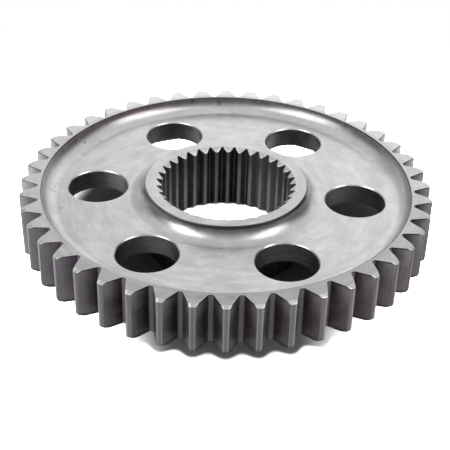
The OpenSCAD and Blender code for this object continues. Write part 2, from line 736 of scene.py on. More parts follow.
@dataclass
class Sprocket:
    """The whole sprocket, grown as one closed mesh from its rim, web and hub."""

    rim: ToothedRim = field(default_factory=ToothedRim)
    web: DishedWeb = field(default_factory=DishedWeb)
    hub: SplinedHub = field(default_factory=SplinedHub)

    def _circles(self, draft: MeshDraft, path: Path) -> list[list[int]]:
        """Turns a path of radii and heights into rings.

        Args:
            draft: the mesh that grows.
            path: radius and height of each ring.

        Returns:
            The rings.
        """
        return [draft.ring(circle(r, self.web.ring_points), z) for r, z in path]

    def _upper_side(self, draft: MeshDraft, rim: list[int], bore: list[int]) -> list[list[int]]:
        """Adds everything that looks up, from the teeth to the bore.

        Args:
            draft: the mesh that grows.
            rim: ring of the teeth in the upper end face.
            bore: ring of the spline in the hub's upper face.

        Returns:
            The mouths of the lightening holes.
        """
        web, hub = self.web, self.hub
        depth = self.rim.top - web.top
        wall = self._circles(draft, [(r, web.top + h) for r, h in web.outer_path(depth)])
        draft.fill([rim, wall[0]], Zone.TURNED, Facing.UP)
        draft.chain(wall, [Zone.TURNED])
        c, e, out = hub.chamfer, hub.edge_rounding, hub.knee_out
        neck = [(r, web.top + h) for r, h in web.hub_path(depth, c * hub.neck_clear)]
        knee = np.array((hub.outer_r + c * out, hub.length - c * (1 + out)))
        low = knee + np.array((e * out, -e))
        rise = bend(low, knee, knee + np.array((-e, e)) * SLANT, 2)
        crest = np.array((hub.outer_r - c, hub.length))
        over = bend(crest + np.array((e, -e)) * SLANT, crest, crest - np.array((e, 0.0)), 2)
        rings = self._circles(draft, neck + rise + over)
        draft.chain(rings, [Zone.TURNED])
        draft.fill([rings[-1], bore], Zone.TURNED, Facing.UP)
        return web.floor_loops(draft, wall[-1], rings[0], Facing.UP)

    def _lower_side(self, draft: MeshDraft, rim: list[int], bore: list[int]) -> list[list[int]]:
        """Adds everything that looks down, from the bore to the teeth.

        Args:
            draft: the mesh that grows.
            rim: ring of the teeth in the lower end face.
            bore: ring of the spline in the hub's lower face.

        Returns:
            The mouths of the lightening holes.
        """
        web, hub = self.web, self.hub
        depth = web.bottom - self.rim.bottom
        c, e = hub.chamfer, hub.edge_rounding
        crest = np.array((hub.outer_r - c, 0.0))
        over = bend(crest - np.array((e, 0.0)), crest, crest + np.array((e, e)) * SLANT, 2)
        knee = np.array((hub.outer_r, c))
        rise = bend(knee - np.array((e, e)) * SLANT, knee, knee + np.array((0.0, e)), 2)
        neck = [(r, web.bottom - h) for r, h in reversed(web.hub_path(depth, hub.lower_neck_clear))]
        rings = self._circles(draft, over + rise + [(hub.outer_r, self.rim.bottom / 2)] + neck)
        draft.fill([bore, rings[0]], Zone.TURNED, Facing.DOWN)
        draft.chain(rings, [Zone.TURNED])
        path = [(r, web.bottom - h) for r, h in reversed(web.outer_path(depth))]
        wall = self._circles(draft, path)
        draft.chain(wall, [Zone.TURNED])
        draft.fill([wall[-1], rim], Zone.TURNED, Facing.DOWN)
        return web.floor_loops(draft, wall[0], rings[-1], Facing.DOWN)

    def build(self, materials: dict[Zone, bpy.types.Material]) -> bpy.types.Object:
        """Builds and dresses the sprocket.

        Args:
            materials: the material of each zone.

        Returns:
            The finished object.
        """
        draft = MeshDraft()
        rim_low, rim_high = self.rim.build(draft)
        bore_high, bore_low = self.hub.build_bore(draft)
        upper = self._upper_side(draft, rim_high, bore_high)
        lower = self._lower_side(draft, rim_low, bore_low)
        self.web.build_holes(draft, upper, lower)
        piece = draft.piece("sprocket_steel", materials)
        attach(piece, "root")
        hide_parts("sprocket")
        return piece


@dataclass(frozen=True)
class Grain:
    """A noise: how finely it repeats, how many layers it has and how strong the finer ones are."""

    scale: float
    detail: float
    roughness: float = 0.5


@dataclass
class NodeSheet:
    """A shader tree with short calls for the nodes that the finishes share."""

    tree: bpy.types.NodeTree

    def node(self, kind: str, **settings: object) -> bpy.types.Node:
        """Adds a node.

        Args:
            kind: Blender's name of the node type.
            settings: properties of the node.

        Returns:
            The node.
        """
        node = self.tree.nodes.new(kind)
        for name, value in settings.items():
            setattr(node, name, value)
        return node

    def join(self, source: Socket, target: Socket) -> None:
        """Links an output to an input."""
        self.tree.links.new(source, target)

    def _feed(self, value: object, target: Socket) -> None:
        """Links a socket to an input, or writes a plain value there.

        Args:
            value: socket, number or colour.
            target: the input.
        """
        if isinstance(value, Socket):
            self.join(value, target)
        else:
            target.default_value = value

    def math(self, operation: str, *values: object) -> Socket:
        """Adds a maths node.

        Args:
            operation: Blender's name of the operation.
            values: sockets or numbers for its inputs.

        Returns:
            The result.
        """
        node = self.node("ShaderNodeMath", operation=operation)
        for value, target in zip(values, node.inputs):
            self._feed(value, target)
        return node.outputs[0]

    def mix(self, factor: object, a: object, b: object) -> Socket:
        """Adds a colour mix.

        Args:
            factor: socket or number from 0 to 1.
            a: socket or colour at 0.
            b: socket or colour at 1.

        Returns:
            The mixed colour.
        """
        node = self.node("ShaderNodeMix", data_type="RGBA")
        self._feed(factor, node.inputs[0])
        # This node's inputs for colours are numbers 6 and 7, and its colour is output 2
        for value, target in ((a, node.inputs[6]), (b, node.inputs[7])):
            self._feed((*value, 1.0) if isinstance(value, tuple) else value, target)
        return node.outputs[2]

    def times(self, first: object, *others: object) -> Socket:
        """Adds the nodes that multiply values.

        Args:
            first: socket or number.
            others: sockets or numbers.

        Returns:
            The product.
        """
        for other in others:
            first = self.math("MULTIPLY", first, other)
        return first

    def plus(self, first: object, *others: object) -> Socket:
        """Adds the nodes that add values up.

        Args:
            first: socket or number.
            others: sockets or numbers.

        Returns:
            The sum.
        """
        for other in others:
            first = self.math("ADD", first, other)
        return first

    def ramp(self, value: object, over: Span, to_low: float = 0.0, to_high: float = 1.0) -> Socket:
        """Adds a smooth map of one range to another.

        Args:
            value: socket that is mapped.
            over: start and end of its range.
            to_low: result at the start.
            to_high: result at the end.

        Returns:
            The mapped value.
        """
        node = self.node("ShaderNodeMapRange", interpolation_type="SMOOTHSTEP")
        for number, feed in enumerate((value, *over, to_low, to_high)):
            self._feed(feed, node.inputs[number])
        return node.outputs[0]

    def noise(self, vector: Socket, grain: Grain) -> Socket:
        """Adds a noise texture.

        Args:
            vector: coordinates.
            grain: the noise.

        Returns:
            The noise value, from 0 to 1.
        """
        node = self.node("ShaderNodeTexNoise")
        self.join(vector, node.inputs["Vector"])
        node.inputs["Scale"].default_value = grain.scale
        node.inputs["Detail"].default_value = grain.detail
        node.inputs["Roughness"].default_value = grain.roughness
        return node.outputs[0]

    def bump(self, height: Socket, distance: float, strength: float, below: object = None) -> Socket:
        """Adds a bump.

        Args:
            height: height from 0 to 1.
            distance: depth of the relief in metres.
            strength: share of it that shows.
            below: normal of an earlier bump, or None.

        Returns:
            The new normal.
        """
        node = self.node("ShaderNodeBump")
        node.inputs["Strength"].default_value = strength
        node.inputs["Distance"].default_value = distance
        self.join(height, node.inputs["Height"])
        if below is not None:
            self.join(below, node.inputs["Normal"])
        return node.outputs[0]

    def wobble(self, vector: Socket, grain: Grain, reach: float) -> Socket:
        """Adds a noise that swings around zero.

        Args:
            vector: coordinates.
            grain: the noise.
            reach: half the width of the swing.

        Returns:
            The value, from -reach to reach.
        """
        centred = self.math("SUBTRACT", self.noise(vector, grain), 0.5)
        return self.times(centred, 2 * reach)

    def scaled(self, parts: tuple[Socket, ...], by: tuple[float, float, float]) -> Socket:
        """Joins three values into coordinates.

        Args:
            parts: the three values.
            by: what each is multiplied by.

        Returns:
            The coordinates.
        """
        node = self.node("ShaderNodeCombineXYZ")
        for part, factor, target in zip(parts, by, node.inputs):
            self.join(self.times(part, factor), target)
        return node.outputs[0]

    def place(self) -> tuple[Socket, Socket, Socket, Socket]:
        """Adds the object's own coordinates.

        Returns:
            The whole vector, then x, y and z.
        """
        whole = self.node("ShaderNodeTexCoord").outputs["Object"]
        parts = self.node("ShaderNodeSeparateXYZ")
        self.join(whole, parts.inputs[0])
        return (whole, *parts.outputs)

    def distance(self, x: Socket, y: Socket) -> Socket:
        """Gives how far a point in the plane lies from the middle."""
        return self.math("SQRT", self.plus(self.times(x, x), self.times(y, y)))

    def choose(self, factor: Socket, first: Socket, second: Socket) -> Socket:
        """Adds a mix of two shaders.

        Args:
            factor: 0 for the first, 1 for the second.
            first: output of a shader.
            second: output of a shader.

        Returns:
            The mixed shader.
        """
        node = self.node("ShaderNodeMixShader")
        for source, target in zip((factor, first, second), node.inputs):
            self.join(source, target)
        return node.outputs[0]

    def finish(self, shader: Socket) -> None:
        """Links a shader to a new material output."""
        self.join(shader, self.node("ShaderNodeOutputMaterial").inputs["Surface"])


def blank_material(name: str) -> tuple[bpy.types.Material, NodeSheet]:
    """Makes a node material with nothing in it.

    Args:
        name: name of the material.

    Returns:
        The material and the sheet of its tree.
    """
    material = bpy.data.materials.new(name)
    material.use_nodes = True
    material.node_tree.nodes.clear()
    material.cycles.emission_sampling = "NONE"
    return material, NodeSheet(material.node_tree)


def flat_square(name: str, half: float, height: float, material: bpy.types.Material) -> bpy.types.Object:
    """Adds a level square around the axis.

    Args:
        name: name of the object.
        half: half its side.
        height: height of the square.
        material: its material.

    Returns:
        The object.
    """
    mesh = bpy.data.meshes.new(name)
    corners = [(-half, -half, 0), (half, -half, 0), (half, half, 0), (-half, half, 0)]
    mesh.from_pydata(corners, [], [(0, 1, 2, 3)])
    mesh.materials.append(material)
    square = bpy.data.objects.new(name, mesh)
    square.location.z = height
    bpy.context.scene.collection.objects.link(square)
    return square


def show_to_glossy_only(thing: bpy.types.Object) -> None:
    """Keeps a studio object out of the picture and its light, so that only metal mirrors it.

    Args:
        thing: the object.
    """
    thing.visible_camera = False
    thing.visible_diffuse = False
    thing.visible_transmission = False
    thing.visible_volume_scatter = False
    thing.visible_shadow = False


# How finely tool marks repeat, along radius, cosine and sine or along x, y and z
RING_SCALE = (1100.0, 3.0, 3.0)
SMEAR_SCALE = (420.0, 5.0, 5.0)
LENGTHWISE_SCALE = (1500.0, 1500.0, 60.0)
DRILL_SCALE = (90.0, 90.0, 1300.0)
# Smallest radius in metres, so that nothing is divided by zero on the axis
LEAST_RADIUS = 0.001


@dataclass(frozen=True)
class ToolPaths:
    """Texture coordinates that follow how the steel was cut."""

    place: Socket
    radius: Socket
    rear: Socket
    height: Socket
    cosine: Socket
    sine: Socket
    tooth: Socket
    rings: Socket
    smears: Socket
    lengths: Socket
    drill: Socket

    @classmethod
    def on(cls, sheet: NodeSheet) -> "ToolPaths":
        """Adds the nodes of all coordinates to a tree.

        Args:
            sheet: the tree.

        Returns:
            The coordinates, made from the object's own.
        """
        place, x, y, z = sheet.place()
        radius = sheet.math("MAXIMUM", sheet.distance(x, y), LEAST_RADIUS)
        cosine = sheet.math("DIVIDE", x, radius)
        sine = sheet.math("DIVIDE", y, radius)
        half_tooth = math.pi / TOOTH_COUNT
        turn = sheet.math("SUBTRACT", sheet.math("ARCTAN2", y, x), math.radians(TOOTH_PHASE))
        return cls(
            place,
            radius,
            y,
            z,
            cosine,
            sine,
            sheet.math("WRAP", turn, half_tooth, -half_tooth),
            sheet.scaled((radius, cosine, sine), RING_SCALE),
            sheet.scaled((radius, cosine, sine), SMEAR_SCALE),
            sheet.scaled((x, y, z), LENGTHWISE_SCALE),
            sheet.scaled((x, y, z), DRILL_SCALE),
        )


# Share of a mark's half size where it is at its full strength
BLOT_CORE = 0.45


@dataclass(frozen=True)
class Blot:
    """A small mark: its place and half sizes in millimetres."""

    x: float
    y: float
    long: float
    wide: float
    turn: float
    strength: float
    z: float = 20.0
    high: float = 100.0

    def cover(self, sheet: NodeSheet, place: Socket) -> Socket:
        """Adds the mark's soft-edged mask.

        Args:
            sheet: the tree.
            place: object coordinates.

        Returns:
            How much the mark covers, from 0 to its strength.
        """
        moved = sheet.node("ShaderNodeMapping", vector_type="TEXTURE")
        moved.inputs["Location"].default_value = (self.x * MM, self.y * MM, self.z * MM)
        moved.inputs["Rotation"].default_value = (0.0, 0.0, math.radians(self.turn))
        moved.inputs["Scale"].default_value = (self.long * MM, self.wide * MM, self.high * MM)
        sheet.join(place, moved.inputs["Vector"])
        reach = sheet.node("ShaderNodeVectorMath", operation="LENGTH")
        sheet.join(moved.outputs[0], reach.inputs[0])
        return sheet.ramp(reach.outputs["Value"], (BLOT_CORE, 1.0), self.strength, 0.0)


# Small dark marks in the dish and on the rim's upper face
BLOTS = (
    Blot(-56.7, -5.2, 2.2, 0.4, -12.0, 0.6),
    Blot(-52.0, -14.7, 1.0, 0.8, 20.0, 0.5),
    Blot(-51.7, 26.4, 1.2, 0.6, 60.0, 0.6),
    Blot(-47.0, 29.9, 1.1, 0.7, 20.0, 0.5),
    Blot(-50.9, 20.2, 0.8, 0.5, 0.0, 0.5),
    Blot(-7.0, 58.9, 1.2, 0.8, 0.0, 0.7),
    Blot(-17.0, 57.6, 1.1, 0.7, 10.0, 0.7),
    Blot(-2.4, -62.6, 1.7, 1.2, 20.0, 0.4),
    Blot(6.2, -62.1, 1.8, 1.3, -10.0, 0.36),
)
# A brown mark on one tooth flank at the front right
FLANK_BLOTS = (
    Blot(49.9, -40.7, 1.5, 1.5, 0.0, 0.5, 14.0, 2.2),
    Blot(50.3, -40.2, 1.1, 1.1, 0.0, 0.45, 17.0, 0.9),
    Blot(46.5, -44.0, 1.6, 1.6, 0.0, 0.4, 10.0, 3.0),
)


@dataclass(frozen=True)
class LightAndStainBand:
    """A paler or darker part of a surface, mostly painted light and painted shade: a band of radius and
    height, in millimetres.

    Four numbers hold each: where the band starts, where it is full, where it is still full
    and where it ends.
    The band's share may swing from one side of the axis to the other. Degrees count from +X:
    the front is near 273, the right 3, the back 93 and the left 183.
    """

    radii: tuple[float, float, float, float]
    heights: tuple[float, float, float, float]
    colour: Colour
    share: float
    swing: float = 0.0
    towards: float = 0.0

    def cover(self, sheet: NodeSheet, paths: ToolPaths) -> Socket:
        """Adds the band's soft-edged mask.

        Args:
            sheet: the tree.
            paths: its coordinates.

        Returns:
            How much the band covers, from 0 to 1.
        """
        turn = math.radians(self.towards)
        east = sheet.times(paths.cosine, self.swing * math.cos(turn))
        north = sheet.times(paths.sine, self.swing * math.sin(turn))
        cover = sheet.ramp(sheet.plus(east, north, self.share), (0.0, 1.0))
        for value, band in ((paths.radius, self.radii), (paths.height, self.heights)):
            start, full, last, end = (edge * MM for edge in band)
            rise = sheet.ramp(value, (start, full))
            cover = sheet.times(cover, rise, sheet.ramp(value, (last, end), 1.0, 0.0))
        return cover


ALL_RADII = (0.0, 1.0, 70.0, 71.0)
RIM_RADII = (60.0, 60.3, 70.0, 71.0)
ALL_HEIGHTS = (-2.0, -1.0, 30.0, 31.0)
UPPER_FACES = (22.7, 22.79, 30.0, 31.0)
UPPER_WEB = (18.0, 18.1, 18.4, 18.9)
LOWER_ENDS = (5.0, 6.0, 6.5, 7.6)
RIM_SHADE = (0.2, 0.18, 0.2)
WEB_SHADE = (0.1, 0.1, 0.1)
NECK_SHADE = (0.1, 0.085, 0.095)
END_SHADE = (0.08, 0.065, 0.07)
# Colours of painted light and painted shade in the bore
PALE_BORE = (0.97, 0.97, 0.98)
DIM_BORE = (0.28, 0.28, 0.29)
# Bands on the turned faces, most of them painted light and painted shade
TURNED_BANDS = (
    # Painted shade on the rim's face at the front and at the right, and a darker ring along its inner edge at
    # the back
    LightAndStainBand(RIM_RADII, UPPER_FACES, RIM_SHADE, 0.07, 0.44, 283.0),
    LightAndStainBand(RIM_RADII, UPPER_FACES, RIM_SHADE, -0.01, 0.23, 15.0),
    LightAndStainBand((60.0, 60.2, 61.2, 62.5), UPPER_FACES, RIM_SHADE, 0.1, 0.25, 92.0),
    # Painted shade on the hub's face, darkest at the front right
    LightAndStainBand((20.0, 20.5, 26.2, 26.3), UPPER_FACES, (0.0, 0.0, 0.0), 0.145, 0.11, 305.0),
    # Painted shadow on the web in front of the hub, painted shade at the front left and on the dish's fillet
    # beside it
    LightAndStainBand((26.3, 28.5, 36.0, 46.0), (18.0, 18.1, 19.5, 20.5), WEB_SHADE, -0.6, 0.9, 278.0),
    LightAndStainBand((36.0, 42.0, 57.0, 60.0), UPPER_WEB, WEB_SHADE, -0.04, 0.19, 245.0),
    LightAndStainBand((53.5, 55.0, 59.5, 60.1), (18.0, 18.1, 20.5, 21.5), WEB_SHADE, -0.35, 0.58, 218.0),
    # The dark edge of the dish at the right, and its wall at the back left
    LightAndStainBand((60.0, 60.1, 60.3, 60.5), (22.3, 22.5, 30.0, 31.0), (0.07, 0.055, 0.06), -0.5, 1.25, 330.0),
    LightAndStainBand((54.0, 58.0, 60.3, 60.4), (19.6, 21.1, 22.79, 22.8), (0.34, 0.2, 0.27), -1.2, 1.65, 136.0),
    # The lower dish beside the hub, which gets no light
    LightAndStainBand((26.2, 26.3, 34.0, 36.0), (-1.0, -0.5, 11.0, 12.0), (0.02, 0.02, 0.02), 0.6),
    # Painted light on the web, paler at the back
    LightAndStainBand((44.0, 50.0, 54.0, 59.0), UPPER_WEB, (0.97, 0.97, 0.97), -0.15, 0.42, 118.0),
    # Painted shade on the hub's side above the web and on its upper edge
    LightAndStainBand((26.2, 26.3, 30.0, 31.0), (18.4, 21.4, 22.79, 22.8), NECK_SHADE, 0.25, 0.1, 275.0),
    LightAndStainBand((26.2, 26.3, 27.2, 28.0), (21.4, 22.1, 22.79, 22.8), NECK_SHADE, 0.4, 0.5, 298.0),
)
TIP_BANDS = (
    # Painted light at the right and at the left, and darker at the lower end
    LightAndStainBand(ALL_RADII, ALL_HEIGHTS, (0.92, 0.78, 0.88), -0.35, 1.1, 335.0),
    LightAndStainBand(ALL_RADII, ALL_HEIGHTS, (0.92, 0.83, 0.91), -0.4, 0.95, 200.0),
    LightAndStainBand(ALL_RADII, (5.0, 6.0, 6.4, 7.4), (0.1, 0.08, 0.09), 0.55),
)
FLANK_BANDS = (
    # Painted light and a purple tint low down at the front right, and painted light at the left
    LightAndStainBand(ALL_RADII, (-2.0, -1.0, 12.0, 21.0), (0.52, 0.43, 0.5), -0.3, 0.85, 318.0),
    LightAndStainBand(ALL_RADII, ALL_HEIGHTS, (0.56, 0.51, 0.58), -0.9, 1.4, 205.0),
    # Painted shade low down at the front left, and darker at the lower end
    LightAndStainBand(ALL_RADII, (-2.0, -1.0, 14.0, 19.0), (0.06, 0.05, 0.055), -2.6, 2.85, 247.0),
    LightAndStainBand(ALL_RADII, LOWER_ENDS, END_SHADE, 0.55),
)
CORNER_BANDS = (
    # Painted shade everywhere but at the front, and darker at the lower end
    LightAndStainBand(ALL_RADII, ALL_HEIGHTS, (0.27, 0.24, 0.27), 2.6, -2.9, 273.0),
    LightAndStainBand(ALL_RADII, LOWER_ENDS, END_SHADE, 0.5),
)
SPLINE_PAINTED_LIGHT = (
    # Painted shade at the back, painted light at the back right
    LightAndStainBand(ALL_RADII, ALL_HEIGHTS, (0.05, 0.05, 0.055), -1.4, 1.85, 92.0),
    LightAndStainBand(ALL_RADII, ALL_HEIGHTS, (0.7, 0.69, 0.71), -2.2, 2.7, 52.0),
)
SPLINE_TIP_PAINTED_LIGHT = (
    # Painted shade at the back and at the upper end
    LightAndStainBand(ALL_RADII, ALL_HEIGHTS, DIM_BORE, -1.2, 1.7, 92.0),
    LightAndStainBand(ALL_RADII, (15.0, 21.0, 30.0, 31.0), DIM_BORE, 0.4),
    # Painted light low down at the back right and the back left
    LightAndStainBand(ALL_RADII, (-2.0, -1.0, 13.0, 19.0), PALE_BORE, -0.7, 1.5, 38.0),
    LightAndStainBand(ALL_RADII, (-2.0, -1.0, 9.0, 15.0), PALE_BORE, -0.9, 1.6, 150.0),
)

# Noises of the tones. Those of the tool marks run over coordinates that are scaled already
CLOUDS = Grain(85.0, 4.0, 0.6)
FINE_CLOUDS = Grain(420.0, 3.0, 0.6)
RING_TONES = Grain(1.0, 3.0, 0.65)
SMEAR_TONES = Grain(1.0, 3.0, 0.55)
MARK_TONES = Grain(1.0, 3.0, 0.6)
GLOSS_GRAIN = Grain(240.0, 3.0, 0.6)
# Shares of the clouds and the rings in the mix of tones
CLOUD_SHARE = 0.55
FINE_CLOUD_SHARE = 0.18
RING_SHARE = 0.4
# Noises of the dirt, and of the edge between the painted light and painted shade on the teeth
STREAK_GRAIN = Grain(1.3, 2.0)
STAIN_GRAIN = Grain(70.0, 5.0, 0.7)
RUST_GRAIN = Grain(150.0, 4.0, 0.65)
PIT_PATCHES = Grain(37.0, 1.0)
SHADE_EDGE_GRAIN = Grain(300.0, 2.0)
PIT_SCALE = 120.0
SHADE_EDGE_REACH = 0.0016
# Noises and depths in metres of the relief, and the share of the rings in it
FINE_RELIEF = (Grain(1800.0, 2.0), 0.00002)
RING_RELIEF = (Grain(4.5, 2.0), 0.00003)
LENGTHWISE_RELIEF = (Grain(2.3, 2.0), 0.00003)
DRILL_RELIEF = (Grain(1.0, 2.0), 0.00004)
RING_RELIEF_SHARE = 0.6
# Where a noise starts to show and where it shows fully
GLOSS_SPAN = (0.3, 0.7)
STREAK_SPAN = (0.5, 0.66)
STAIN_SPAN = (0.56, 0.74)
RUST_SPAN = (0.5, 0.68)
PIT_SPAN = (0.02, 0.075)
PIT_PATCH_SPAN = (0.48, 0.56)
# Where a change starts and ends along y, in metres
STREAK_PLACE = (-0.03, -0.01)
REAR_PLACE = (0.008, 0.062)
# Where a change starts and ends along the radius, in metres
RIM_FROM = (0.06, 0.0606)
TOOTH_TOP = (0.0636, 0.067)
TOOTH_ROOT = (0.0612, 0.065)
SPARK_FROM = (0.0655, 0.0661)
WALL_INSIDE = 0.0603
WALL_OUTSIDE = 0.04
# Where a change starts and ends along the height, in metres
SCATTER_RISE = (0.015, 0.0215)
WALL_RISE = (0.0184, 0.0214)
WALL_LINE_RISE = (0.022, 0.0223)
TOP_LINE_RISE = (0.0222, 0.02255)
WALL_BELOW = 0.022795
# Where a change starts and ends along the cosine of the place around the axis
SCATTER_SIDE = (0.4, 0.8)
SPARK_SIDE = (-0.1, 0.1)
# Where a change starts and ends around a tooth's middle, in radians
NEAR_SIDE = (-0.007, 0.003)
FAR_SIDE = (0.002, 0.009)
SPARK_WIDTH = (0.003, 0.008)
SPARK_TURN = 0.0135
# Direction from the left-hand to the right-hand side, as x and y
ACROSS = (0.998, 0.061)
# Strengths that all finishes share
REAR_STREAKS = 0.25
RIGHT_SPARK = 0.1
WALL_LINE = 0.74
TOOTH_TOP_LIGHT = 0.8
TOOTH_TOP_GAIN = 1.6
PALEST = 0.95
# Colours of dirt, streaks and dark lines, of painted shade, and of painted light and glints
STREAK_COLOUR = (0.9, 0.9, 0.9)
RUST_COLOUR = (0.42, 0.31, 0.33)
BLOT_COLOUR = (0.3, 0.24, 0.28)
ROOT_COLOUR = (0.1, 0.07, 0.07)
TOP_LINE_COLOUR = (0.05, 0.04, 0.045)
REAR_COLOUR = (0.96, 0.96, 0.96)
NEAR_COLOUR = (0.12, 0.105, 0.115)
FAR_COLOUR = (1.0, 0.93, 0.99)
SPARK_COLOUR = (1.0, 1.0, 1.0)


@dataclass(frozen=True)
class SteelFinish:
    """A steel surface: two tones of metal, how it scatters light, its marks, its dirt, and light and shade
    painted on it.
    """

    name: str
    dark: Colour
    light: Colour
    roughness: float
    roughness_spread: float = 0.04
    metallic: float = 1.0
    contrast: float = 0.2
    # Strengths of the tool marks, in tone and in relief
    ring_marks: float = 0.0
    smears: float = 0.0
    lengthwise_marks: float = 0.0
    drill_marks: float = 0.0
    grain: float = 0.12
    # Painted shade at the tooth roots, tinted brown, and painted light near the tips; painted shade on the
    # dish wall; a dark line at upper edges; painted light at the rear of the rim
    root_shade: float = 0.0
    wall_shade: float = 0.0
    top_line: float = 0.0
    painted_rear_light: float = 0.0
    # How much less metallic, and so duller, the steel is near its top and at the right
    top_scatter: float = 0.0
    side_scatter: float = 0.0
    # Painted shade on each tooth's front side, painted light on its rear side, and a painted glint on its
    # edge
    near_shade: float = 0.0
    far_light: float = 0.0
    painted_glint: float = 0.0
    # Dirt and small marks
    streaks: float = 0.0
    pits: float = 0.0
    stains: float = 0.0
    stain: Colour = (0.36, 0.31, 0.34)
    rust: float = 0.0
    blots: tuple[Blot, ...] = ()
    # Bands of painted light and painted shade, with a few dark lines and tinted places
    light_and_stain_bands: tuple[LightAndStainBand, ...] = ()

    def material(self) -> bpy.types.Material:
        """Builds the node material of the finish.

        Returns:
            The material.
        """
        material = bpy.data.materials.new(self.name)
        material.use_nodes = True
        material.diffuse_color = (*self.light, 1.0)
        sheet = NodeSheet(material.node_tree)
        shader = material.node_tree.nodes["Principled BSDF"]
        shader.inputs["Metallic"].default_value = self.metallic
        paths = ToolPaths.on(sheet)
        if self.top_scatter:
            least = self.metallic - self.top_scatter
            high = sheet.ramp(paths.height, SCATTER_RISE, self.metallic, least)
            east = sheet.ramp(paths.cosine, SCATTER_SIDE, 0.0, self.side_scatter)
            sheet.join(sheet.math("SUBTRACT", high, east), shader.inputs["Metallic"])
        colour = self._dirt_and_painted_light(sheet, paths, self._metal(sheet, paths))
        sheet.join(colour, shader.inputs["Base Color"])
        fine = sheet.noise(paths.place, GLOSS_GRAIN)
        low, high = self.roughness - self.roughness_spread, self.roughness + self.roughness_spread
        sheet.join(sheet.ramp(fine, GLOSS_SPAN, low, high), shader.inputs["Roughness"])
        sheet.join(self._relief(sheet, paths), shader.inputs["Normal"])
        return material

    def _metal(self, sheet: NodeSheet, paths: ToolPaths) -> Socket:
        """Mixes the two tones of the metal by clouds and tool marks.

        Args:
            sheet: the tree.
            paths: its coordinates.

        Returns:
            The colour.
        """
        layers = [
            (CLOUD_SHARE, sheet.noise(paths.place, CLOUDS)),
            (FINE_CLOUD_SHARE, sheet.noise(paths.place, FINE_CLOUDS)),
        ]
        marks = (
            (RING_SHARE * self.ring_marks, paths.rings, RING_TONES),
            (self.smears, paths.smears, SMEAR_TONES),
            (self.lengthwise_marks, paths.lengths, MARK_TONES),
            (self.drill_marks, paths.drill, MARK_TONES),
        )
        layers += [(share, sheet.noise(vector, grain)) for share, vector, grain in marks if share]
        tone = sheet.plus(*(sheet.times(layer, share) for share, layer in layers))
        middle = 0.5 * sum(share for share, _ in layers)
        tone = sheet.ramp(tone, (middle - self.contrast, middle + self.contrast))
        return sheet.mix(tone, self.dark, self.light)

    def _dirt_and_painted_light(self, sheet: NodeSheet, paths: ToolPaths, colour: Socket) -> Socket:
        """Adds the dirt and marks, and the painted light and shade, to the metal.

        Args:
            sheet: the tree.
            paths: its coordinates.
            colour: the clean metal.

        Returns:
            The colour with its dirt and its painted light and shade.
        """
        colour = self._marks(sheet, paths, colour)
        colour = self._shades(sheet, paths, colour)
        for band in self.light_and_stain_bands:
            colour = sheet.mix(band.cover(sheet, paths), colour, band.colour)
        return self._painted_tooth_light(sheet, paths, colour)

    def _marks(self, sheet: NodeSheet, paths: ToolPaths, colour: Socket) -> Socket:
        """Adds pale streaks, stains, brown film, single marks and pits.

        Args:
            sheet: the tree.
            paths: its coordinates.
            colour: the clean metal.

        Returns:
            The marked colour.
        """
        if self.streaks:
            streaks = sheet.noise(paths.smears, STREAK_GRAIN)
            pale = sheet.ramp(streaks, STREAK_SPAN, 0.0, self.streaks)
            front = sheet.ramp(paths.rear, STREAK_PLACE, 1.0, REAR_STREAKS)
            colour = sheet.mix(sheet.times(pale, front), colour, STREAK_COLOUR)
        if self.stains:
            stains = sheet.noise(paths.place, STAIN_GRAIN)
            colour = sheet.mix(sheet.ramp(stains, STAIN_SPAN, 0.0, self.stains), colour, self.stain)
        if self.rust:
            film = sheet.noise(paths.place, RUST_GRAIN)
            colour = sheet.mix(sheet.ramp(film, RUST_SPAN, 0.0, self.rust), colour, RUST_COLOUR)
        for blot in self.blots:
            colour = sheet.mix(blot.cover(sheet, paths.place), colour, BLOT_COLOUR)
        if self.pits:
            cells = sheet.node("ShaderNodeTexVoronoi")
            sheet.join(paths.place, cells.inputs["Vector"])
            cells.inputs["Scale"].default_value = PIT_SCALE
            spots = sheet.ramp(cells.outputs["Distance"], PIT_SPAN, self.pits, 0.0)
            some = sheet.ramp(sheet.noise(paths.place, PIT_PATCHES), PIT_PATCH_SPAN)
            colour = sheet.mix(sheet.times(spots, some), colour, self.stain)
        return colour

    def _shades(self, sheet: NodeSheet, paths: ToolPaths, colour: Socket) -> Socket:
        """Adds what changes with the place: painted shade at the tooth roots and on the dish's wall, painted
        light near the tooth tips and at the rear, and a dark line at upper edges.

        Args:
            sheet: the tree.
            paths: its coordinates.
            colour: the marked metal.

        Returns:
            The shaded colour.
        """
        if self.root_shade:
            # Painted light near the tooth tips, and painted shade tinted brown at the roots
            wobble = sheet.wobble(paths.place, SHADE_EDGE_GRAIN, SHADE_EDGE_REACH)
            edge = sheet.plus(paths.radius, wobble)
            painted_tip_light = tuple(min(c * TOOTH_TOP_GAIN, PALEST) for c in self.light)
            colour = sheet.mix(sheet.ramp(edge, TOOTH_TOP, 0.0, TOOTH_TOP_LIGHT), colour, painted_tip_light)
            colour = sheet.mix(sheet.ramp(edge, TOOTH_ROOT, self.root_shade, 0.0), colour, ROOT_COLOUR)
        if self.wall_shade:
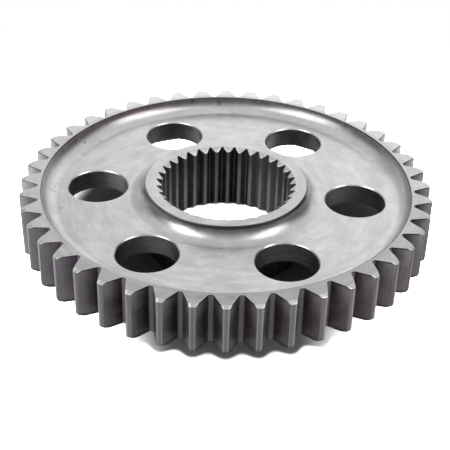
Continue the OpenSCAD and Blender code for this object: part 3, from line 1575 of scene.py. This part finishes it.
            # Painted shade on the upper part of the dish's wall, and a darker line at its top
            high = sheet.ramp(paths.height, WALL_RISE, 0.0, self.wall_shade)
            line = sheet.ramp(paths.height, WALL_LINE_RISE, 0.0, WALL_LINE)
            inside = sheet.math("LESS_THAN", paths.radius, WALL_INSIDE)
            outside = sheet.math("GREATER_THAN", paths.radius, WALL_OUTSIDE)
            below = sheet.math("LESS_THAN", paths.height, WALL_BELOW)
            band = sheet.times(sheet.math("MAXIMUM", high, line), inside, outside, below)
            colour = sheet.mix(band, colour, NECK_SHADE)
        if self.top_line:
            line = sheet.ramp(paths.height, TOP_LINE_RISE, 0.0, self.top_line)
            colour = sheet.mix(line, colour, TOP_LINE_COLOUR)
        if self.painted_rear_light:
            # Painted light on the rear of the rim
            rear = sheet.ramp(paths.rear, REAR_PLACE, 0.0, self.painted_rear_light)
            fade = sheet.times(sheet.ramp(paths.radius, RIM_FROM), rear)
            colour = sheet.mix(fade, colour, REAR_COLOUR)
        return colour

    def _painted_tooth_light(self, sheet: NodeSheet, paths: ToolPaths, colour: Socket) -> Socket:
        """Paints shade on each tooth's front side, light on its rear side, and a glint on its edge.

        Args:
            sheet: the tree.
            paths: its coordinates.
            colour: the shaded metal.

        Returns:
            The finished colour.
        """
        if self.near_shade:
            # Painted shade on each tooth's front side, painted light on its rear side
            side = sheet.plus(sheet.times(paths.cosine, ACROSS[0]), sheet.times(paths.sine, ACROSS[1]))
            rearward = sheet.times(paths.tooth, side)
            near = sheet.ramp(rearward, NEAR_SIDE, self.near_shade, 0.0)
            colour = sheet.mix(near, colour, NEAR_COLOUR)
            far = sheet.ramp(rearward, FAR_SIDE, 0.0, self.far_light)
            colour = sheet.mix(far, colour, FAR_COLOUR)
        if self.painted_glint:
            # A painted glint on each tooth's edge near its tip, strongest at the left
            aside = sheet.math("ABSOLUTE", sheet.plus(paths.tooth, SPARK_TURN))
            narrow = sheet.ramp(aside, SPARK_WIDTH, self.painted_glint, 0.0)
            high = sheet.ramp(paths.radius, SPARK_FROM)
            left = sheet.ramp(paths.cosine, SPARK_SIDE, 1.0, RIGHT_SPARK)
            colour = sheet.mix(sheet.times(narrow, high, left), colour, SPARK_COLOUR)
        return colour

    def _relief(self, sheet: NodeSheet, paths: ToolPaths) -> Socket:
        """Adds the relief of the grain and the tool marks.

        Args:
            sheet: the tree.
            paths: its coordinates.

        Returns:
            The normal.
        """
        grain, depth = FINE_RELIEF
        normal = sheet.bump(sheet.noise(paths.place, grain), depth, self.grain)
        marks = (
            (self.ring_marks * RING_RELIEF_SHARE, paths.rings, RING_RELIEF),
            (self.lengthwise_marks, paths.lengths, LENGTHWISE_RELIEF),
            (self.drill_marks, paths.drill, DRILL_RELIEF),
        )
        for strength, vector, (grain, depth) in marks:
            if strength:
                normal = sheet.bump(sheet.noise(vector, grain), depth, strength, normal)
        return normal


FINISHES: dict[Zone, SteelFinish] = {
    Zone.TURNED: SteelFinish(
        "turned_steel", (0.54, 0.54, 0.54), (0.7, 0.7, 0.7), 0.3, contrast=0.22,
        ring_marks=0.3, smears=0.45, wall_shade=0.37, painted_rear_light=0.42,
        streaks=0.27, pits=0.5, stains=0.3, blots=BLOTS, light_and_stain_bands=TURNED_BANDS),
    Zone.FLANK: SteelFinish(
        "cut_tooth_flank", (0.38, 0.35, 0.395), (0.65, 0.605, 0.665), 0.34, contrast=0.16,
        lengthwise_marks=0.4, root_shade=0.85, top_line=0.72, painted_rear_light=0.2, stains=0.5,
        stain=(0.3, 0.24, 0.29), rust=0.5, top_scatter=0.075, side_scatter=0.05, blots=FLANK_BLOTS,
        light_and_stain_bands=FLANK_BANDS),
    Zone.ROOT: SteelFinish(
        "cut_gap_floor", (0.42, 0.41, 0.42), (0.54, 0.53, 0.54), 0.5, metallic=0.75,
        lengthwise_marks=0.3, top_line=0.5),
    Zone.TIP: SteelFinish(
        "turned_tooth_tip", (0.65, 0.64, 0.66), (0.79, 0.78, 0.8), 0.5, metallic=0.85,
        lengthwise_marks=0.3, near_shade=0.6, far_light=0.85, light_and_stain_bands=TIP_BANDS),
    Zone.CORNER: SteelFinish(
        "worn_tooth_corner", (0.48, 0.47, 0.49), (0.64, 0.63, 0.65), 0.4, metallic=0.45,
        lengthwise_marks=0.2, near_shade=0.5, far_light=0.8, light_and_stain_bands=CORNER_BANDS),
    Zone.EDGE: SteelFinish(
        "broken_edge", (0.5, 0.5, 0.5), (0.64, 0.64, 0.64), 0.28, painted_rear_light=0.5, painted_glint=0.75),
    Zone.HOLE: SteelFinish(
        "drilled_hole_wall", (0.34, 0.34, 0.34), (0.54, 0.54, 0.54), 0.36, drill_marks=0.4),
    Zone.SPLINE: SteelFinish(
        "broached_spline", (0.17, 0.17, 0.175), (0.36, 0.355, 0.365), 0.36, contrast=0.17,
        lengthwise_marks=0.6, light_and_stain_bands=SPLINE_PAINTED_LIGHT),
    Zone.SPLINE_TIP: SteelFinish(
        "bored_spline_tip", (0.62, 0.62, 0.62), (0.74, 0.74, 0.74), 0.45, lengthwise_marks=0.3,
        light_and_stain_bands=SPLINE_TIP_PAINTED_LIGHT),
}


@dataclass
class StudioCamera:
    """The camera that sees the sprocket as the photograph does.

    Its offset is in tip radii from the middle of the rim's upper face, its angles are degrees.
    """

    tip_radius: float = 0.06697
    focus_height: float = 0.0228
    tilt: float = 33.689
    roll: float = -1.470
    turn: float = CAMERA_TURN
    offset: tuple[float, float, float] = (0.006, 0.2127, -5.3464)
    focal_pixels: float = 1094.1
    frame_pixels: int = 450
    sensor: float = 36.0
    near_clip: float = 0.01
    far_clip: float = 50.0

    def build(self) -> bpy.types.Object:
        """Adds the camera and makes it the scene's own.

        Returns:
            The camera object.
        """
        t, r = math.radians(self.tilt), math.radians(self.roll)
        level = Matrix(((1, 0, 0), (0, math.sin(t), math.cos(t)), (0, -math.cos(t), math.sin(t))))
        rolled = Matrix(((math.cos(r), -math.sin(r), 0), (math.sin(r), math.cos(r), 0), (0, 0, 1)))
        facing = (rolled @ level).transposed()
        turned = Matrix.Rotation(math.radians(self.turn), 3, "Z")
        place = turned @ (-(facing @ Vector(self.offset))) * self.tip_radius
        data = bpy.data.cameras.new("studio_camera")
        data.sensor_width = self.sensor
        data.lens = self.focal_pixels / self.frame_pixels * self.sensor
        data.clip_start, data.clip_end = self.near_clip, self.far_clip
        camera = bpy.data.objects.new("studio_camera", data)
        place += Vector((0, 0, self.focus_height))
        camera.matrix_world = Matrix.Translation(place) @ (turned @ facing).to_4x4()
        bpy.context.scene.collection.objects.link(camera)
        bpy.context.scene.camera = camera
        return camera


@dataclass(frozen=True)
class SoftBox:
    """An upright area lamp, placed by its direction from the sprocket."""

    name: str
    azimuth: float
    elevation: float
    distance: float
    width: float
    height: float
    radiance: float

    def build(self) -> bpy.types.Object:
        """Adds the lamp, aimed at the sprocket.

        Returns:
            The lamp object.
        """
        a, e = math.radians(self.azimuth), math.radians(self.elevation)
        way = Vector((math.cos(e) * math.cos(a), math.cos(e) * math.sin(a), math.sin(e)))
        data = bpy.data.lights.new(self.name, "AREA")
        data.shape = "RECTANGLE"
        data.size, data.size_y = self.width, self.height
        data.energy = self.radiance * math.pi * self.width * self.height
        lamp = bpy.data.objects.new(self.name, data)
        lamp.location = way * self.distance
        lamp.rotation_euler = way.to_track_quat("Z", "Y").to_euler()
        bpy.context.scene.collection.objects.link(lamp)
        return lamp


@dataclass(frozen=True)
class CardArea:
    """A soft-edged area of the studio's walls, by its middle, half size and brightness."""

    azimuth: float
    elevation: float
    half_width: float
    half_height: float
    softness: float
    level: float

    def cover(self, azimuth: float, elevation: float) -> float:
        """Gives how far the area covers a direction.

        Args:
            azimuth: direction around the axis, in degrees.
            elevation: height over the horizon, in degrees.

        Returns:
            A share from 0 to 1.
        """
        around = abs((azimuth - self.azimuth + 180) % 360 - 180)
        above = abs(elevation - self.elevation)
        side = soft_step((self.half_width + self.softness - around) / (2 * self.softness))
        height = soft_step((self.half_height + self.softness - above) / (2 * self.softness))
        return side * height


@dataclass
class StudioWalls:
    """The walls that the steel mirrors: pale behind, dark low down and at the camera's side.

    Only glossy rays see them, so they add no light and stay out of the picture.
    """

    radius: float = 2.2
    rows: int = 30
    columns: int = 96
    dark: float = 0.13
    rise: float = 0.7
    rise_power: float = 2.8
    areas: tuple[CardArea, ...] = (
        # The pale wall high up behind, its bright lower part and the brightest strip in that
        CardArea(90.0, 66.0, 78.0, 32.0, 12.0, 0.83),
        CardArea(86.0, 14.0, 44.0, 22.0, 9.0, 1.03),
        CardArea(84.0, 29.0, 20.0, 6.0, 6.0, 1.3),
        # A dimmer part at the back left, and a paler one under it
        CardArea(128.0, 24.0, 24.0, 24.0, 14.0, 0.6),
        CardArea(128.0, 5.0, 24.0, 8.0, 8.0, 0.85),
    )

    def level(self, azimuth: float, elevation: float) -> float:
        """Gives the brightness of the walls in a direction.

        Args:
            azimuth: direction around the axis, in degrees.
            elevation: height over the horizon, in degrees.

        Returns:
            The brightness, where 1 is white.
        """
        level = self.dark + self.rise * math.sin(math.radians(elevation)) ** self.rise_power
        for area in self.areas:
            cover = area.cover(azimuth, elevation)
            level += (area.level - level) * cover
        return level

    def build(self, turn: float) -> bpy.types.Object:
        """Adds the walls as a dome.

        Args:
            turn: angle in degrees of the camera's side.

        Returns:
            The dome.
        """
        points, levels, faces = [], [], []
        for i in range(self.rows + 1):
            elevation = 90.0 * i / self.rows
            e = math.radians(elevation)
            for j in range(self.columns):
                azimuth = 360.0 * j / self.columns
                a = math.radians(azimuth)
                way = (math.cos(e) * math.cos(a), math.cos(e) * math.sin(a), math.sin(e))
                points.append(tuple(self.radius * c for c in way))
                levels.append(self.level(azimuth, elevation))
        for i in range(self.rows):
            for j in range(self.columns):
                k, n = i * self.columns, (j + 1) % self.columns
                faces.append((k + j, k + n, k + self.columns + n, k + self.columns + j))
        mesh = bpy.data.meshes.new("studio_walls")
        mesh.from_pydata(points, [], faces)
        glow = mesh.attributes.new("glow", "FLOAT", "POINT")
        glow.data.foreach_set("value", levels)
        mesh.materials.append(self._material())
        walls = bpy.data.objects.new("studio_walls", mesh)
        walls.rotation_euler.z = math.radians(turn)
        bpy.context.scene.collection.objects.link(walls)
        show_to_glossy_only(walls)
        return walls

    @staticmethod
    def _material() -> bpy.types.Material:
        """Makes the walls' paint, as bright as the mesh says.

        Returns:
            The material.
        """
        material, sheet = blank_material("wall_paint")
        glow = sheet.node("ShaderNodeAttribute", attribute_name="glow")
        paint = sheet.node("ShaderNodeEmission")
        sheet.join(glow.outputs["Fac"], paint.inputs["Strength"])
        sheet.finish(paint.outputs[0])
        return material


@dataclass
class GreyCard:
    """A dark card on the floor at the camera's side, which the tooth flanks mirror."""

    half: float = 1.6
    height: float = -0.00005
    edge_turn: float = 14.7
    # Places from front to back: where its brightness starts to rise, is full and fades away
    near: float = -0.065
    dark_at: float = -0.034
    clear_at: float = 0.012
    # It is open under the sprocket's web and hub
    hole_r: float = 0.06
    hole_soft: float = 0.003
    # Brightness near the front and further back, and what the right and the left side add
    near_level: float = 0.09
    level: float = 0.19
    right_level: float = 0.09
    right_span: Span = (0.015, 0.045)
    left_level: float = 0.05
    left_span: Span = (-0.055, -0.03)

    def build(self, turn: float) -> bpy.types.Object:
        """Adds the card, with a soft edge across the sprocket.

        Args:
            turn: angle in degrees of the camera's side.

        Returns:
            The card.
        """
        material, sheet = blank_material("card_face")
        _, x, y, _ = sheet.place()
        clear = sheet.ramp(y, (self.dark_at, self.clear_at))
        hole = sheet.ramp(sheet.distance(x, y), (self.hole_r - self.hole_soft, self.hole_r), 1.0, 0.0)
        clear = sheet.math("MAXIMUM", clear, hole)
        right = sheet.ramp(x, self.right_span, self.near_level, self.near_level + self.right_level)
        left = sheet.ramp(x, self.left_span, self.left_level, 0.0)
        side = sheet.plus(right, left)
        far = sheet.ramp(y, (self.near, self.dark_at))
        rise = sheet.times(sheet.math("SUBTRACT", self.level, side), far)
        face = sheet.node("ShaderNodeEmission")
        sheet.join(sheet.plus(side, rise), face.inputs["Strength"])
        gone = sheet.node("ShaderNodeBsdfTransparent")
        sheet.finish(sheet.choose(clear, face.outputs[0], gone.outputs[0]))
        card = flat_square("grey_card", self.half, self.height, material)
        card.rotation_euler.z = math.radians(turn + self.edge_turn)
        show_to_glossy_only(card)
        return card


@dataclass
class Studio:
    """The white floor, the walls that the steel mirrors, and plain soft light."""

    turn: float = CAMERA_TURN
    ambient: float = 0.5
    floor_half: float = 4.0
    floor_height: float = -0.0001
    # The paper's paleness for the steel and for the camera, and where plain white takes over
    paper: float = 0.85
    paper_seen: float = 7.0
    backdrop_from: Span = (0.1, 0.2)
    # Paleness of the shaded paper beside the hub, under the web and below the rim
    hub_side_shade: float = 0.15
    shade: float = 0.31
    contact_shade: float = 0.19
    bore_wall: Span = (0.0238, 0.0262)
    beside_hub: Span = (0.026, 0.052)
    below_rim: Span = (0.054, 0.062)
    # Reach of that shade, and how strong it is in the bore for what the steel mirrors
    shade_r: float = 0.062
    shade_soft: float = 0.008
    shade_shift: float = 0.004
    shade_ends: Span = (0.03, 0.046)
    bore_shade: float = 0.8
    # The tight shadow that follows the front teeth, as it lies in the camera's view of them
    contact_shift: float = 0.0084
    contact_scale: float = 1.0283
    contact_r: float = 0.0677
    contact_dark: float = 0.97
    contact_wave: float = 0.0012
    contact_soft: float = 0.0012
    contact_sides: Span = (0.018, 0.043)
    contact_ends: Span = (-0.008, 0.004)
    walls: StudioWalls = field(default_factory=StudioWalls)
    card: GreyCard = field(default_factory=GreyCard)
    boxes: tuple[SoftBox, ...] = (
        SoftBox("left_box", 212.0, 45.0, 1.0, 0.46, 0.72, 2.9),
        SoftBox("right_box", 345.0, 50.0, 1.0, 0.4, 0.66, 2.8),
    )

    @staticmethod
    def _shows_background(sheet: NodeSheet) -> Socket:
        """Picks the rays that see the plain white background.

        Args:
            sheet: a tree.

        Returns:
            1 for camera, glossy and transmission rays, 0 for others.
        """
        path = sheet.node("ShaderNodeLightPath")
        seen = sheet.math("MAXIMUM", path.outputs["Is Camera Ray"], path.outputs["Is Glossy Ray"])
        return sheet.math("MAXIMUM", seen, path.outputs["Is Transmission Ray"])

    def _world(self) -> None:
        """Sets a white background and a plain even light."""
        world = bpy.data.worlds.new("studio_world")
        bpy.context.scene.world = world
        world.use_nodes = True
        world.cycles.sampling_method = "NONE"
        sheet = NodeSheet(world.node_tree)
        world.node_tree.nodes.clear()
        light = sheet.node("ShaderNodeBackground")
        light.inputs["Strength"].default_value = self.ambient
        light.inputs["Color"].default_value = (1.0, 1.0, 1.0, 1.0)
        white = sheet.node("ShaderNodeBackground")
        white.inputs["Strength"].default_value = 1.0
        white.inputs["Color"].default_value = (1.0, 1.0, 1.0, 1.0)
        either = sheet.choose(self._shows_background(sheet), light.outputs[0], white.outputs[0])
        sheet.join(either, sheet.node("ShaderNodeOutputWorld").inputs["Surface"])

    def _floor_material(self) -> bpy.types.Material:
        """Makes white paper that is shaded under the sprocket and plain white beyond it.

        Returns:
            The material.
        """
        material, sheet = blank_material("white_paper")
        _, x, y, _ = sheet.place()
        camera = sheet.node("ShaderNodeLightPath").outputs["Is Camera Ray"]
        reach = sheet.distance(x, y)
        under = self._seen_reach(sheet, sheet.math("SUBTRACT", x, self.shade_shift), y)
        under = sheet.ramp(under, (self.shade_r - self.shade_soft, self.shade_r), 1.0, 0.0)
        front = sheet.ramp(y, self.shade_ends, 1.0, 0.0)
        outside = sheet.ramp(reach, self.bore_wall)
        in_bore = sheet.math("SUBTRACT", self.bore_shade, sheet.times(camera, self.bore_shade))
        shaded = sheet.times(under, front, sheet.math("MAXIMUM", outside, in_bore))
        contact = sheet.times(self._contact(sheet, x, y), outside, camera)
        shaded = sheet.math("MAXIMUM", shaded, contact)
        plain = sheet.mix(camera, (self.paper,) * 3, (self.paper_seen,) * 3)
        shade = sheet.mix(
            sheet.ramp(reach, self.beside_hub), (self.hub_side_shade,) * 3, (self.shade,) * 3)
        shade = sheet.mix(sheet.ramp(reach, self.below_rim), shade, (self.contact_shade,) * 3)
        paper = sheet.node("ShaderNodeBsdfDiffuse")
        sheet.join(sheet.mix(shaded, plain, shade), paper.inputs["Color"])
        white = sheet.node("ShaderNodeEmission")
        beyond = sheet.times(self._shows_background(sheet), sheet.ramp(reach, self.backdrop_from))
        sheet.finish(sheet.choose(beyond, paper.outputs[0], white.outputs[0]))
        return material

    def _seen_reach(self, sheet: NodeSheet, x: Socket, y: Socket) -> Socket:
        """Gives the radius at the teeth's lower ends that the camera sees over a floor point.

        Args:
            sheet: the floor's tree.
            x: place on the floor, across the view.
            y: place on the floor, away from the camera.

        Returns:
            The radius.
        """
        down = sheet.math("SUBTRACT", y, self.contact_shift)
        return sheet.math("DIVIDE", sheet.distance(x, down), self.contact_scale)

    def _contact(self, sheet: NodeSheet, x: Socket, y: Socket) -> Socket:
        """Works out the tight shadow that the front teeth throw on the paper.

        Args:
            sheet: the floor's tree.
            x: place on the floor, across the view.
            y: place on the floor, away from the camera.

        Returns:
            How dark the paper is there, from 0 to 1.
        """
        down = sheet.math("SUBTRACT", y, self.contact_shift)
        reach = self._seen_reach(sheet, x, y)
        first = math.radians(TOOTH_PHASE - self.turn)
        turn = sheet.math("SUBTRACT", sheet.math("ARCTAN2", down, x), first)
        wave = sheet.math("COSINE", sheet.times(turn, float(TOOTH_COUNT)))
        edge = sheet.plus(sheet.times(wave, self.contact_wave), self.contact_r)
        past = sheet.math("SUBTRACT", reach, edge)
        inside = sheet.ramp(past, (-self.contact_soft, self.contact_soft), 1.0, 0.0)
        aside = sheet.math("ABSOLUTE", sheet.math("SUBTRACT", x, self.shade_shift))
        across = sheet.ramp(aside, self.contact_sides, self.contact_dark, 0.0)
        return sheet.times(inside, across, sheet.ramp(y, self.contact_ends, 1.0, 0.0))

    def build(self) -> None:
        """Adds the floor, the walls, the lamps and the world."""
        floor = flat_square("studio_floor", self.floor_half, self.floor_height, self._floor_material())
        floor.rotation_euler.z = math.radians(self.turn)
        self.walls.build(self.turn)
        self.card.build(self.turn)
        for box in self.boxes:
            box.build()
        self._world()
        bpy.context.scene.view_settings.view_transform = "Standard"


def main() -> None:
    """Builds the studio and the sprocket, and reports each piece."""
    logging.basicConfig(level=logging.INFO, format="%(name)s: %(message)s")
    StudioCamera().build()
    Studio().build()
    materials = {zone: finish.material() for zone, finish in FINISHES.items()}
    piece = Sprocket().build(materials)
    LOG.info("%s: %d faces", piece.name, len(piece.data.polygons))


if __name__ == "__main__":
    main()
